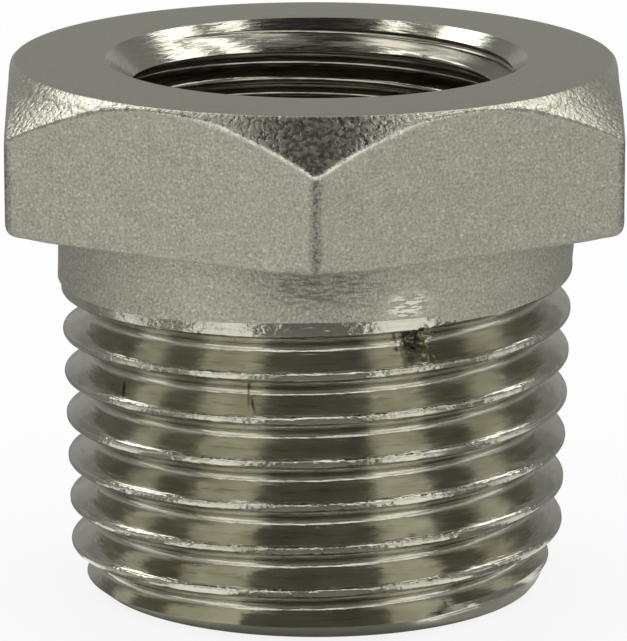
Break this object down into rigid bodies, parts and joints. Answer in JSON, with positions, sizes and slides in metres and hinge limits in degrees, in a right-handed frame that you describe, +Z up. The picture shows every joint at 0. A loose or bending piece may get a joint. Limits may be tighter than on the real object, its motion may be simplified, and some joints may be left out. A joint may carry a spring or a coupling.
{
  "type": "hex bushing",
  "caption": "Cast stainless steel hex reducing bushing, with a taper pipe thread outside and a smaller parallel pipe thread through its middle.",
  "frame": {"origin": "on the axis, in the end face of the male thread, which the part stands on", "axes": "+Z up along the axis, towards the hexagon; one corner of the hexagon towards -Y, and two of its flats square to X"},
  "size_m": [0.025, 0.0288, 0.0222],
  "materials": {
    "stainless": "blasted as cast on the hexagon and neck, machined bright on the threads and satin on the top face"
  },
  "bodies": {
    "root": {"hex_bushing": "stainless"}
  },
  "joints": []
}
